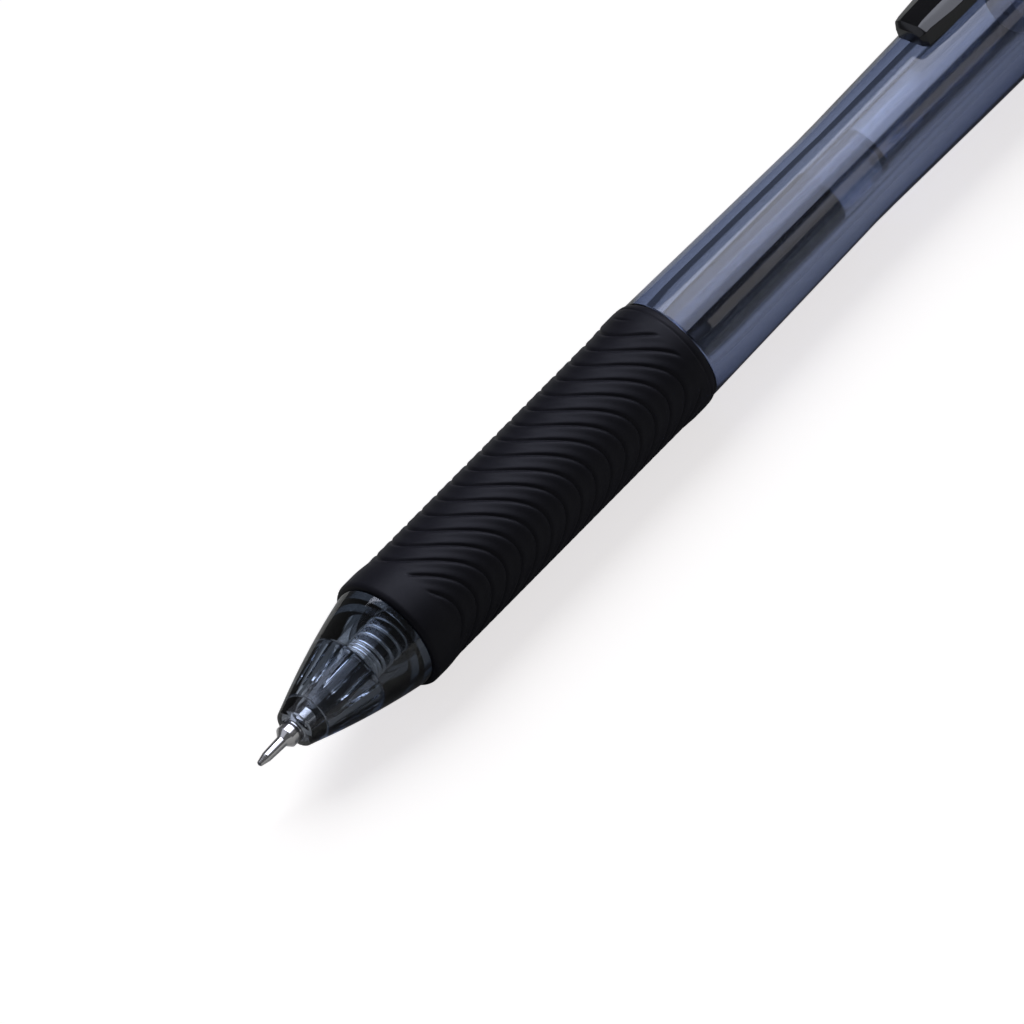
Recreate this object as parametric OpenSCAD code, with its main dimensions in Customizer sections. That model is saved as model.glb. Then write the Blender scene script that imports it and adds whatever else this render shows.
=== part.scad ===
/* [Shell lengths] */
// Metal point that stands out of the nose when the pen writes
tip_out = 4.95; // [4.2:0.05:6]
// Nose cone, from its mouth to the grip
nose_len = 13.3; // [11:0.1:17]
// Rubber grip
grip_len = 40.6; // [33:0.1:50]
// Clear barrel that shows between the grip and the rear cap
barrel_len = 72.1; // [60:0.1:90]
// Rear cap
cap_len = 5.5; // [4.8:0.1:7]
// Button that stands out of the cap when the point is out
button_out = 5.8; // [3:0.1:8]

/* [Nose cone] */
// Wall of the cone at its mouth
mouth_wall = 0.7; // [0.55:0.05:1]
// Step in from the body of the grip to the rear of the cone
nose_step = 0.34; // [0.1:0.02:0.6]
// How far the side of the cone swells out from a straight line
nose_swell = 0.3; // [0:0.05:0.6]
// Mouth to the shoulder that the return spring sits on
seat_depth = 8.35; // [7:0.05:10]
// Threaded spigot that screws into the barrel
spigot_len = 8; // [6:0.1:11]
// Wall of the spigot below its thread
spigot_wall = 0.5; // [0.4:0.05:0.6]
// Room between the refill and the spigot round it
spigot_room = 0.25; // [0.15:0.05:0.4]
// Height of the thread on the spigot
thread_h = 0.25; // [0.15:0.05:0.35]
// Lead of the thread
thread_pitch = 1.6; // [1.2:0.1:2.2]
// Flutes inside the cone
flutes = 10; // [6:1:12]

/* [Grip] */
// Wall of the rubber
grip_wall = 1.04; // [0.8:0.02:1.2]
// Height of the lip at the front end
lip_h = 0.16; // [0.1:0.01:0.3]
// Height of the swelling at the rear end
swell_h = 0.12; // [0.05:0.01:0.25]

/* [Barrel] */
// Room between the refill and the bore
bore_room = 0.8; // [0.4:0.05:1]
// Wall at the waist
waist_wall = 1.28; // [1:0.02:1.6]
// Distance of the waist behind the grip
waist_back = 25.15; // [15:0.05:35]
// Wall of the core under the grip, where it is bored for the nose
core_wall = 0.77; // [0.6:0.01:1]
// Step in from the body of the grip to the barrel behind it
barrel_step = 0.19; // [0.05:0.01:0.4]
// Wall of the tenon that carries the rear cap
tenon_wall = 0.68; // [0.6:0.02:0.8]
// Wall of the rear cap round the tenon
cap_wall = 0.76; // [0.6:0.02:1]

/* [Knock mechanism] */
// Travel of the refill between in and out
knock_travel = 5.5; // [4:0.1:6.5]
// Travel past the latched position when the button is pushed home
over_travel = 1.2; // [0.6:0.1:1.2]
// Distance from the refill's tail to the rear cap
knock_room = 19; // [18:0.1:23]
// Radius of the button
button_r = 3.1; // [2.9:0.05:3.3]
// Wall of the button
button_wall = 0.78; // [0.6:0.02:1]
// Ribs and slots round the cam guide
cam_ribs = 4; // [4:1:4]
// Angle that one rib takes up
rib_angle = 14; // [10:1:14]
// Turn of the rotor over the travel
cam_turn = 45; // [35:1:45]
// Height of a rib above the guide's bore
rib_h = 0.6; // [0.4:0.05:0.7]
// Wall of the cam guide outside its slots
guide_wall = 0.5; // [0.4:0.05:0.6]
// Length of the rotor
rotor_len = 7; // [6:0.1:7.5]
// Height of the cam teeth
tooth_h = 0.9; // [0.6:0.05:1.2]

/* [Clip] */
// Width of the clip at its root
clip_root_w = 5.4; // [4.8:0.1:6]
// Width of the clip at its foot
clip_foot_w = 4.2; // [3.4:0.1:4.8]
// Length of the clip in front of the rear cap
clip_reach = 34; // [26:0.1:42]
// Thickness of the bar of the clip
clip_t = 1.5; // [1.2:0.05:1.8]
// Room between the bar and the barrel
clip_room = 0.65; // [0.5:0.05:0.9]
// Radius of the bead that the clip turns on
bead_r = 1; // [0.9:0.02:1.1]

/* [Refill] */
// Radius of the ink tube
refill_r = 3; // [2.7:0.05:3.05]
// Wall of the ink tube
refill_wall = 0.45; // [0.35:0.05:0.6]
// Room between the neck and the spring round it
neck_room = 0.2; // [0.1:0.05:0.3]
// Radius of the writing ball
ball_r = 0.25; // [0.19:0.01:0.35]
// Radius of the metal point behind its shoulder
point_r = 1.13; // [1.05:0.01:1.15]
// Length of the slender front of the metal point
point_len = 3.4; // [2.6:0.1:3.6]
// Ink that is left in the tube
ink_len = 44.4; // [10:0.1:48]
// Grease behind the ink
grease_len = 6.7; // [3:0.1:7]

/* [Return spring] */
// Outside radius of the coils
spring_r = 2.45; // [2.4:0.05:2.6]
// Diameter of the wire
wire_d = 0.4; // [0.3:0.02:0.45]
// Length of the spring while the point is out
spring_len = 16.1; // [13:0.1:18]
// Open turns
spring_turns = 13; // [9:1:16]
// Closed turns at the front end
closed_turns = 4; // [2:1:5]

/* [Fits] */
// Gap round what slides or turns
run_gap = 0.08; // [0.05:0.01:0.1]
// Gap round the bead of the clip
bead_gap = 0.05; // [0.02:0.01:0.09]
// Gap round the point and the neck in the nose
nose_gap = 0.12; // [0.08:0.01:0.2]
// Gap between two faces that only come close
face_gap = 0.05; // [0.03:0.01:0.1]
// Gap round the ball in its socket
ball_gap = 0.015; // [0.01:0.005:0.02]

/* [Hidden] */
$fn = 64;
eps = 0.01;

smoke = "#6b7590";
rubber = "#17171b";
gloss_black = "#101014";
steel = "#b9bcc2";

// Stations along the pen, from the ball at 0 to the end of the button
nose_z = tip_out;
grip_z = nose_z + nose_len;
barrel_z = grip_z + grip_len;
waist_z = barrel_z + waist_back;
cap_z = barrel_z + barrel_len;
cap_end_z = cap_z + cap_len;
pen_len = cap_end_z + button_out;
seat_z = nose_z + seat_depth;
spring_end_z = seat_z + spring_len;
tail_z = cap_z - knock_room;

// The spigot runs round the refill and inside the core, and the grip is stretched over the core
spigot_bore_r = max(refill_r, spring_r) + spigot_room;
spigot_r = spigot_bore_r + spigot_wall;
socket_r = spigot_r + thread_h + run_gap;
core_r = socket_r + core_wall;
grip_r = core_r + grip_wall;
grip_lip_r = grip_r + lip_h;
grip_rear_r = grip_r + swell_h;
nose_rear_r = grip_r - nose_step;
barrel_front_r = grip_r - barrel_step;
bore_r = refill_r + bore_room;
waist_r = bore_r + waist_wall;

// The refill's tail, the rotor and the plunger run in the cam guide, which fills the barrel's rear
tail_room = 0.1;
knock_r = max(button_r, refill_r + tail_room);
guide_bore_r = knock_r + run_gap;
slot_r = guide_bore_r + rib_h + run_gap;
guide_r = max(slot_r + guide_wall, bore_r + face_gap);
guide_z = tail_z - 0.8;
tenon_r = guide_r + tenon_wall;
tenon_len = cap_len - 2.5;
barrel_rear_r = tenon_r + cap_wall;
rib_r = slot_r - run_gap;
rib_room = 0.3;
rotor_rear = 1.5;
rotor_z = tail_z + face_gap;
teeth_z = rotor_z + rotor_len;
plunger_z = teeth_z + 2 * face_gap;
plunger_ribs_z = plunger_z + 0.5 + tooth_h;
plunger_ribs_end_z = cap_z + tenon_len - knock_travel - rib_room;
narrow_z = teeth_z - rotor_rear + knock_travel + rib_room;
button_z = plunger_ribs_end_z + 1;
button_top = button_wall + 0.4;
stem_r = button_r - button_wall;
hollow_r = stem_r - 0.3;

// The clip hangs on a bead behind the cap's front edge
bead_x = barrel_rear_r + clip_room + clip_t / 2;
bead_z = cap_z + 2.9;
neck_t = 1.2;
clip_z = cap_z - clip_reach;

// The front of the refill, with the neck inside the spring
neck_r = spring_r - wire_d - neck_room;
holder_front_r = point_r + 0.22;
nose_mouth_r = point_r + nose_gap + mouth_wall;
collar_z = point_len + 0.5;
holder_z = nose_z + 2.3;
shoulder_z = holder_z + 2.2;
shank_z = holder_z + 0.8;
chamber_z = shank_z + 1.6;
shank_r = point_r - 0.23;
flange_len = 1.2;
plug_len = 6;
tube_z = spring_end_z + flange_len;
ink_z = tube_z + plug_len;
ink_end_z = ink_z + ink_len;
tube_bore_r = refill_r - refill_wall;
tail_head = 1;
vent_r = 0.5;
check_r = 0.68;
wick_r = 0.08;

// Height of the axis over the plane that the pen lies on
axis_h = max(grip_lip_r, barrel_rear_r);

// Lays the pen down along X, point at -X, clip on top, on the plane Z = 0
module place() {
    translate([-pen_len / 2, 0, axis_h]) rotate([0, 90, 0]) rotate([0, 0, 180]) children();
}

// A bore or a shaft from one station to another
module round_bar(r, from, to) {
    translate([0, 0, from]) cylinder(r = r, h = to - from);
}

// A ring from one station to another
module ring(outer, inner, from, to) {
    difference() {
        round_bar(outer, from, to);
        round_bar(inner, from - 1, to + 1);
    }
}

// A wedge of a disc, centred on an angle, for slots and ribs
module sector(r, angle, half, from, to) {
    reach = r * 1.5;
    translate([0, 0, from]) linear_extrude(to - from) intersection() {
        circle(r = r);
        polygon([[0, 0], [reach * cos(angle - half), reach * sin(angle - half)],
                 [reach * cos(angle), reach * sin(angle)],
                 [reach * cos(angle + half), reach * sin(angle + half)]]);
    }
}

function nose_r(s) = nose_mouth_r + (nose_rear_r - nose_mouth_r) * s + 4 * nose_swell * s * (1 - s);

// One rib in a helix round the spigot, two sided, as a swept strip of triangles
module thread_rib(root_r, crest_r, half_w, pitch, turns, from) {
    steps = 20 * turns;
    function at(r, a, z) = [r * cos(a), r * sin(a), from + z + pitch * a / 360];
    points = [for (i = [0:steps]) let (a = 360 * turns * i / steps)
        each [at(root_r, a, -half_w), at(crest_r, a, -half_w / 3), at(crest_r, a, half_w / 3),
              at(root_r, a, half_w)]];
    sides = [for (i = [0:steps - 1], k = [0:3]) let (a = 4 * i + k, b = 4 * i + (k + 1) % 4)
        each [[a, b, b + 4], [a, b + 4, a + 4]]];
    polyhedron(points = points, faces = concat(sides, [[0, 3, 2], [0, 2, 1]],
        [[4 * steps, 4 * steps + 1, 4 * steps + 2], [4 * steps, 4 * steps + 2, 4 * steps + 3]]));
}

// Cone with a fluted inside, a seat for the spring and a threaded spigot
module nose_cone() {
    rim = 0.3;
    steps = 14;
    mouth_end_z = nose_z + 0.9;
    flutes_z = nose_z + 2.65;
    flute_r = 0.42;
    flute_tilt = 9;
    spigot_end_z = grip_z + spigot_len;
    skin = [for (i = [1:steps]) [nose_r(i / steps), nose_z + (nose_len - face_gap) * i / steps]];
    color(smoke, 0.6) place() {
        difference() {
            union() {
                rotate_extrude() polygon(concat(
                    [[0, nose_z], [nose_mouth_r - rim, nose_z],
                     [nose_mouth_r - rim * 0.3, nose_z + rim * 0.3], [nose_mouth_r, nose_z + rim]],
                    skin, [[0, grip_z - face_gap]]));
                round_bar(spigot_r, grip_z - 1, spigot_end_z);
            }
            round_bar(point_r + nose_gap, nose_z - 1, mouth_end_z + 0.1);
            round_bar(holder_front_r + 2 * nose_gap, mouth_end_z, flutes_z + 0.1);
            round_bar(neck_r + nose_gap, flutes_z, seat_z + 1);
            round_bar(spigot_bore_r, seat_z, spigot_end_z + 1);
            for (i = [0:flutes - 1])
                rotate([0, 0, 360 * i / flutes]) translate([neck_r + nose_gap - 1.1 * flute_r, 0, flutes_z])
                    rotate([0, flute_tilt, 0]) cylinder(r = flute_r, h = seat_z - flutes_z + 0.3);
        }
        thread_rib(spigot_r - 0.1, spigot_r + thread_h, 0.5, thread_pitch, 3, grip_z + thread_pitch);
    }
}

// Long rubber sleeve with a lip in front and a swelling at the rear
module grip_sleeve() {
    lip_len = 4.2;
    swell_len = 4.6;
    edge = 0.35;
    color(rubber) place() rotate_extrude() polygon([
        [core_r, grip_z], [grip_lip_r - edge, grip_z], [grip_lip_r - edge * 0.3, grip_z + edge * 0.3],
        [grip_lip_r, grip_z + edge], [grip_lip_r, grip_z + lip_len / 2],
        [grip_r + lip_h / 2, grip_z + lip_len * 0.7], [grip_r, grip_z + lip_len],
        [grip_r, barrel_z - swell_len], [grip_r + swell_h * 0.7, barrel_z - swell_len * 0.6],
        [grip_rear_r, barrel_z - swell_len * 0.4], [grip_r + swell_h * 0.7, barrel_z - swell_len * 0.2],
        [grip_rear_r - edge * 0.7, barrel_z], [core_r, barrel_z]]);
}

function flare_r(s) = waist_r + (barrel_rear_r - waist_r) * sin(90 * s);

// Clear tube: a core under the grip, a waisted body and a tenon for the cap
module barrel_tube() {
    steps = 12;
    socket_room = 0.5;
    tenon_end_z = cap_z + tenon_len;
    flare = [for (i = [0:steps]) [flare_r(i / steps), waist_z + (cap_z - waist_z) * i / steps]];
    color(smoke, 0.5) place() difference() {
        rotate_extrude() polygon(concat(
            [[0, grip_z], [core_r, grip_z], [core_r, barrel_z], [barrel_front_r, barrel_z]],
            flare, [[tenon_r, cap_z], [tenon_r, tenon_end_z], [0, tenon_end_z]]));
        round_bar(bore_r, grip_z - 1, tenon_end_z + 1);
        round_bar(socket_r, grip_z - 1, grip_z + spigot_len + socket_room);
        round_bar(guide_r, guide_z, tenon_end_z + 1);
    }
}

// Slotted sleeve that guides the ribs of the rotor and of the plunger
module cam_guide() {
    slack = 2;
    wide_from = -cam_turn - rib_angle / 2 - slack;
    wide_to = over_travel * cam_turn / knock_travel + rib_angle / 2 + slack;
    end_z = cap_z + tenon_len - face_gap;
    color("#9aa2b4") place() difference() {
        round_bar(guide_r, guide_z, end_z);
        round_bar(guide_bore_r, guide_z - 1, end_z + 1);
        for (i = [0:cam_ribs - 1]) {
            sector(slot_r, 360 * i / cam_ribs + (wide_from + wide_to) / 2, (wide_to - wide_from) / 2,
                   guide_z - 1, narrow_z);
            sector(slot_r, 360 * i / cam_ribs, rib_angle / 2 + slack, narrow_z - 1, end_z + 1);
        }
    }
}

// Cap pressed on the tenon, with the socket that holds the bead of the clip
module rear_cap() {
    cap_r = barrel_rear_r;
    edge = 0.6;
    block_w = clip_root_w;
    block_in = tenon_r + 0.3;
    block_top = bead_x + bead_r + 0.75;
    slot_in = bead_x - neck_t / 2 - 0.1;
    slot_out = bead_x + neck_t / 2;
    swing = 0.65;
    floor_z = cap_z + tenon_len;
    color(gloss_black) place() difference() {
        union() {
            rotate_extrude() polygon([[0, cap_z], [cap_r, cap_z], [cap_r, cap_end_z - edge],
                [cap_r - edge * 0.3, cap_end_z - edge * 0.3], [cap_r - edge, cap_end_z],
                [0, cap_end_z]]);
            translate([0, block_w / 2, 0]) rotate([90, 0, 0]) linear_extrude(block_w)
                polygon([[block_in, cap_z], [block_top - edge, cap_z], [block_top, cap_z + edge],
                         [block_top, bead_z + edge], [block_top - 2 * edge, cap_end_z - edge / 2],
                         [block_in, cap_end_z - edge / 2]]);
        }
        round_bar(tenon_r, cap_z - 1, floor_z);
        round_bar(button_r + run_gap, cap_z, cap_end_z + 1);
        translate([bead_x, block_w, bead_z]) rotate([90, 0, 0])
            cylinder(r = bead_r + bead_gap, h = 2 * block_w);
        translate([0, block_w, 0]) rotate([90, 0, 0]) linear_extrude(2 * block_w)
            polygon([[bead_x, bead_z], [slot_in, bead_z], [slot_in, cap_z - 1],
                     [slot_out + swing, cap_z - 1], [slot_out + 0.2, bead_z]]);
    }
}

// One cross-section of the clip: flat back, chamfered edges, flat inside
module clip_slice(z, inner, outer, w) {
    chamfer = min(w * 0.22, (outer - inner) * 0.6);
    translate([0, 0, z]) linear_extrude(eps) polygon([
        [inner, -w / 2], [outer - chamfer, -w / 2], [outer, -w / 2 + chamfer],
        [outer, w / 2 - chamfer], [outer - chamfer, w / 2], [inner, w / 2]]);
}

// Springy bar with a bead at its root and a faceted foot on the barrel
module clip() {
    root_in = barrel_rear_r + clip_room;
    root_z = cap_z - 0.9;
    mid_z = clip_z + 9;
    mid_w = clip_root_w - 0.4;
    foot_r = flare_r((clip_z - waist_z) / (cap_z - waist_z)) + 0.12;
    foot_in = foot_r + clip_room;
    foot_out = foot_in + clip_t - 0.1;
    color(gloss_black) place() {
        hull() {
            clip_slice(root_z, root_in, root_in + clip_t, clip_root_w);
            clip_slice(mid_z, foot_in, foot_in + clip_t, mid_w);
        }
        hull() {
            clip_slice(mid_z, foot_in, foot_in + clip_t, mid_w);
            clip_slice(clip_z + 1.2, foot_in, foot_out, clip_foot_w);
        }
        hull() {
            clip_slice(clip_z + 5.2, foot_in, foot_in + 0.5, clip_foot_w);
            clip_slice(clip_z + 3.2, foot_r, foot_in + 0.5, clip_foot_w * 0.8);
            clip_slice(clip_z + 1.4, foot_r, foot_out, clip_foot_w);
            clip_slice(clip_z, foot_r + 0.15, foot_out - 0.8, clip_foot_w * 0.82);
        }
        translate([bead_x, clip_root_w / 2, bead_z]) rotate([90, 0, 0])
            cylinder(r = bead_r, h = clip_root_w);
        translate([bead_x - neck_t / 2, -clip_root_w / 2, cap_z - 1])
            cube([neck_t, clip_root_w, bead_z - cap_z + 1]);
    }
}

// Thimble that the thumb pushes
module push_button() {
    edge = 0.5;
    color(gloss_black) place() difference() {
        rotate_extrude() polygon([[0, button_z], [button_r, button_z], [button_r, pen_len - edge],
            [button_r - edge * 0.3, pen_len - edge * 0.3], [button_r - edge, pen_len], [0, pen_len]]);
        round_bar(stem_r, button_z - 1, pen_len - button_top);
    }
}

// V-shaped notches that leave a ring of cam teeth on the end of a tube
module cam_notches(crest, root, reach) {
    half_w = 0.85;
    over = (crest - root) * 0.2;
    for (i = [0:2 * cam_ribs - 1]) rotate([0, 0, 180 * i / cam_ribs + 90 / cam_ribs])
        rotate([90, 0, 90]) linear_extrude(reach)
            polygon([[-half_w, crest + over], [0, root], [half_w, crest + over]]);
}

// Toothed plunger that carries the button
module cam_plunger() {
    hollow_end_z = plunger_ribs_end_z - 2;
    color("#d8dadf") place() difference() {
        union() {
            round_bar(knock_r, plunger_z, plunger_ribs_end_z);
            round_bar(stem_r, plunger_ribs_end_z - 1, pen_len - button_top);
            for (i = [0:cam_ribs - 1])
                sector(rib_r, 360 * i / cam_ribs, rib_angle / 2, plunger_ribs_z, plunger_ribs_end_z);
        }
        round_bar(hollow_r, plunger_z - 1, hollow_end_z);
        cam_notches(plunger_z, plunger_z + tooth_h, 2 * knock_r);
    }
}

// Rotor that turns an eighth at each push and pushes the refill
module cam_rotor() {
    floor_len = 1.2;
    ribs_z = rotor_z + floor_len;
    color("#c9ccd3") place() difference() {
        union() {
            round_bar(knock_r, rotor_z, teeth_z);
            for (i = [0:cam_ribs - 1])
                sector(rib_r, 360 * i / cam_ribs, rib_angle / 2, ribs_z, teeth_z - rotor_rear);
        }
        round_bar(hollow_r, rotor_z + floor_len, teeth_z + 1);
        cam_notches(teeth_z, teeth_z - tooth_h, 2 * knock_r);
    }
}

// Wire swept along a coil: closed turns in front, then open turns
module return_spring() {
    coil_r = spring_r - wire_d / 2;
    sides = 6;
    per_turn = 14;
    shut_pitch = 1.04 * wire_d;
    shut = closed_turns * shut_pitch;
    open_pitch = (spring_len - shut - 2 * wire_d - 2 * face_gap) / spring_turns;
    turns = closed_turns + spring_turns + 1;
    steps = per_turn * turns;
    function rise(t) = t < closed_turns ? t * shut_pitch
        : t < closed_turns + spring_turns ? shut + (t - closed_turns) * open_pitch
        : shut + spring_turns * open_pitch + (t - closed_turns - spring_turns) * wire_d;
    points = [for (i = [0:steps], k = [0:sides - 1])
        let (t = i / per_turn, a = 360 * t, b = 360 * k / sides, r = coil_r + wire_d / 2 * cos(b))
        [r * cos(a), r * sin(a), seat_z + face_gap + wire_d / 2 + rise(t) + wire_d / 2 * sin(b)]];
    walls = [for (i = [0:steps - 1], k = [0:sides - 1])
        let (a = sides * i + k, b = sides * i + (k + 1) % sides)
        each [[a, b + sides, b], [a, a + sides, b + sides]]];
    last = sides * steps;
    color(steel) place() polyhedron(points = points, faces = concat(walls,
        [for (k = [1:sides - 2]) [0, k, k + 1]], [for (k = [1:sides - 2]) [last, last + k + 1, last + k]]));
}

// Clear plastic tube
module refill_tube() {
    color("#dfe2ea", 0.5) place() ring(refill_r, tube_bore_r, tube_z, tail_z - tail_head);
}

// Plastic holder: grips the metal point, carries the spring and plugs the tube
module tip_holder() {
    chamber_len = 2;
    color("#26282e") place() difference() {
        rotate_extrude() polygon([[0, holder_z], [holder_front_r, holder_z],
            [holder_front_r, shoulder_z - 1], [neck_r, shoulder_z], [neck_r, spring_end_z],
            [refill_r, spring_end_z], [refill_r, tube_z], [tube_bore_r, tube_z],
            [tube_bore_r, ink_z], [0, ink_z]]);
        round_bar(point_r, holder_z - 1, shank_z);
        round_bar(shank_r, holder_z, chamber_z);
        round_bar(check_r + 0.07, chamber_z - eps, chamber_z + chamber_len);
        round_bar(vent_r, chamber_z, ink_z + 1);
    }
}

// Turned metal point: slender front, shoulder and a shank in the holder
module metal_point() {
    lip_z = ball_r * 0.52;
    front_r = 2 * ball_r - 0.02;
    throat_z = 1.2;
    color("#cfcbc4") place() difference() {
        rotate_extrude() polygon([[0, lip_z], [ball_r + 0.04, lip_z], [front_r, 1],
            [front_r + 0.07, 2], [front_r + 0.14, point_len], [point_r, collar_z],
            [point_r, shank_z], [shank_r, shank_z], [shank_r, chamber_z], [0, chamber_z]]);
        translate([0, 0, ball_r]) sphere(r = ball_r + ball_gap);
        round_bar(wick_r + 0.04, ball_r, throat_z + 1);
        round_bar(front_r - 0.14, throat_z, chamber_z + 1);
    }
}

// Hard ball that turns in its socket
module writing_ball() {
    color("#8c8f96") place() translate([0, 0, ball_r]) sphere(r = ball_r);
}

// Fine spring whose straight end holds the ball against its lip
module tip_spring() {
    coil_r = 2 * ball_r - 0.2;
    coil_z = 1.6;
    color(steel) place() {
        round_bar(wick_r, 2 * ball_r + ball_gap, coil_z + 0.2);
        ring(coil_r, coil_r - 0.1, coil_z, chamber_z - 0.3);
        round_bar(coil_r - 0.05, coil_z - face_gap, coil_z + 0.2);
    }
}

// Loose ball that stops ink running back
module check_ball() {
    color(steel) place() translate([0, 0, chamber_z + 1]) sphere(r = check_r);
}

// Column of gel ink
module gel_ink() {
    color("#05050a") place() round_bar(tube_bore_r, ink_z, ink_end_z);
}

// Clear grease that follows the ink
module grease_follower() {
    color("#c8ccd8", 0.6) place() round_bar(tube_bore_r, ink_end_z, ink_end_z + grease_len);
}

// Plug with a vent in the tail of the tube
module tail_plug() {
    plug = 3;
    color("#e4e6ea") place() difference() {
        union() {
            round_bar(refill_r, tail_z - tail_head, tail_z);
            round_bar(tube_bore_r, tail_z - tail_head - plug, tail_z - tail_head);
        }
        round_bar(vent_r, tail_z - tail_head - plug - 1, tail_z + 1);
    }
}

nose_cone();
grip_sleeve();
barrel_tube();
cam_guide();
rear_cap();
clip();
push_button();
cam_plunger();
cam_rotor();
return_spring();
refill_tube();
tip_holder();
metal_point();
writing_ball();
tip_spring();
check_ball();
gel_ink();
grease_follower();
tail_plug();
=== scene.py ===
import math
import bmesh
import bpy
import numpy as np
from mathutils import Matrix, Vector


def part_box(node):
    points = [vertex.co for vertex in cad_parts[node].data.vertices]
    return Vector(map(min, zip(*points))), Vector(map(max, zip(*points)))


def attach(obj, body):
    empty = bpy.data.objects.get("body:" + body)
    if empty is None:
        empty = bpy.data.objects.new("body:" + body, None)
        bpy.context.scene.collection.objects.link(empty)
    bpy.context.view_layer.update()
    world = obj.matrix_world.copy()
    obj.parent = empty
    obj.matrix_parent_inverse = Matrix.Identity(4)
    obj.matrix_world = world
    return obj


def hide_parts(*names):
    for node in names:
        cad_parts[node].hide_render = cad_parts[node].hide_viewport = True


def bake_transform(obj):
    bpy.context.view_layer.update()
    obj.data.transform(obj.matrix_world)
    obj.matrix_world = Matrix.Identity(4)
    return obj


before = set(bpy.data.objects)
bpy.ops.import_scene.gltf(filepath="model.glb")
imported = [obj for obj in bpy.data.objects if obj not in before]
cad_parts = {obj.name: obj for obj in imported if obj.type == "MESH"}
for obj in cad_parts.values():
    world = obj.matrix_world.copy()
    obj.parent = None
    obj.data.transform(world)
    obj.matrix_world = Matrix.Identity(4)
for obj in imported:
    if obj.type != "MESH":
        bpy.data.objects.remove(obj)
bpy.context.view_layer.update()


# --- Camera ------------------------------------------------------------------
# The pen lies on its side with its clip on top and its point towards the lens.
# A long lens a few metres away gives the almost parallel view of a catalogue
# picture, with the point low on the left and the clip running out at the top.

MM = 0.001
TIP_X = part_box("writing_ball")[0].x
AXIS_Z = (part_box("barrel_tube")[0].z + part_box("barrel_tube")[1].z) / 2

clip_turn = math.radians(45)
lean = math.radians(26)
slant = math.radians(45.25)
view_width = 93.1 * MM
lens = 1000

along = Vector((1, 0, 0))
facing = Vector((0, -math.sin(clip_turn), math.cos(clip_turn)))
across = Vector((0, math.cos(clip_turn), math.sin(clip_turn)))
back = math.cos(lean) * facing - math.sin(lean) * along
along_seen = math.cos(lean) * along + math.sin(lean) * facing
right = math.cos(slant) * along_seen - math.sin(slant) * across
up = math.sin(slant) * along_seen + math.cos(slant) * across

camera_data = bpy.data.cameras.new("camera")
camera_data.type = "PERSP"
camera_data.lens = lens
camera_data.sensor_width = 36
camera_data.clip_start = 0.1
camera_data.clip_end = 20
camera = bpy.data.objects.new("camera", camera_data)
bpy.context.scene.collection.objects.link(camera)
middle = Vector((TIP_X, 0, AXIS_Z)) + 0.2475 * view_width * right + 0.247 * view_width * up
distance = view_width * lens / camera_data.sensor_width
turn = Matrix((right, up, back)).transposed().to_4x4()
camera.matrix_world = Matrix.Translation(middle + distance * back) @ turn
bpy.context.scene.camera = camera


# --- Studio ------------------------------------------------------------------
# A white table under the broad light of a bright room, which throws the soft grey
# shadow, and five softboxes that are seen only as reflections in plastic and metal.

def new_material(name):
    material = bpy.data.materials.new(name)
    material.use_nodes = True
    nodes = material.node_tree.nodes
    return material, nodes, material.node_tree.links, nodes["Principled BSDF"]


def link_object(name, data):
    piece = bpy.data.objects.new(name, data)
    bpy.context.scene.collection.objects.link(piece)
    return piece


def feed(links, socket, value):
    """Gives a socket a constant or the output of another node."""
    if isinstance(value, bpy.types.NodeSocket):
        links.new(value, socket)
    else:
        socket.default_value = value


def math_node(nodes, links, operation, a, b=0.0, c=0.0):
    node = nodes.new("ShaderNodeMath")
    node.operation = operation
    for socket, value in zip(node.inputs, (a, b, c)):
        feed(links, socket, value)
    return node.outputs[0]


def map_range(nodes, links, value, low, high, to_low, to_high, curve="LINEAR"):
    """Carries a value that runs from low to high over to a run from to_low to to_high."""
    node = nodes.new("ShaderNodeMapRange")
    node.interpolation_type = curve
    for label, given in (("Value", value), ("From Min", low), ("From Max", high),
                         ("To Min", to_low), ("To Max", to_high)):
        feed(links, node.inputs[label], given)
    return node.outputs["Result"]


def mix_node(nodes, links, factor, a, b, kind="FLOAT"):
    """Mixes two numbers, or two colours where kind is RGBA."""
    node = nodes.new("ShaderNodeMix")
    node.data_type = kind
    for label, given in (("Factor", factor), ("A", a), ("B", b)):
        feed(links, node.inputs[label], given)
    return node.outputs["Result"]


table_half = 8.0
table_mesh = bpy.data.meshes.new("table_top")
table_mesh.from_pydata(
    [(-table_half, -table_half, 0), (table_half, -table_half, 0),
     (table_half, table_half, 0), (-table_half, table_half, 0)], [], [(0, 1, 2, 3)])
table_top = link_object("table_top", table_mesh)
table_top.location.z = -0.02 * MM

# The table glows a little, a glow that stands in for fill light, so that it is white round the pen
# and the pen's shadow on it is an even grey. Seen through the pen, its glow and colour carry a painted
# shadow where the pen stands on it and painted shade under the nose; mirrored in the pen, its glow is
# dimmed as painted shade, most near the pen.
table_white, nodes, links, shader = new_material("table_white")
shader.inputs["Roughness"].default_value = 0.9
shader.inputs["Specular IOR Level"].default_value = 0.0
shader.inputs["Emission Color"].default_value = (1, 0.975, 0.98, 1)
ray = nodes.new("ShaderNodeLightPath")
spot = nodes.new("ShaderNodeSeparateXYZ")
links.new(nodes.new("ShaderNodeTexCoord").outputs["Object"], spot.inputs[0])
contact_y = 3.0 * MM
contact_half = 2.6 * MM
contact_edge = 4.2 * MM
aside = math_node(nodes, links, "ABSOLUTE",
                  math_node(nodes, links, "SUBTRACT", spot.outputs["Y"], contact_y))
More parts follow.
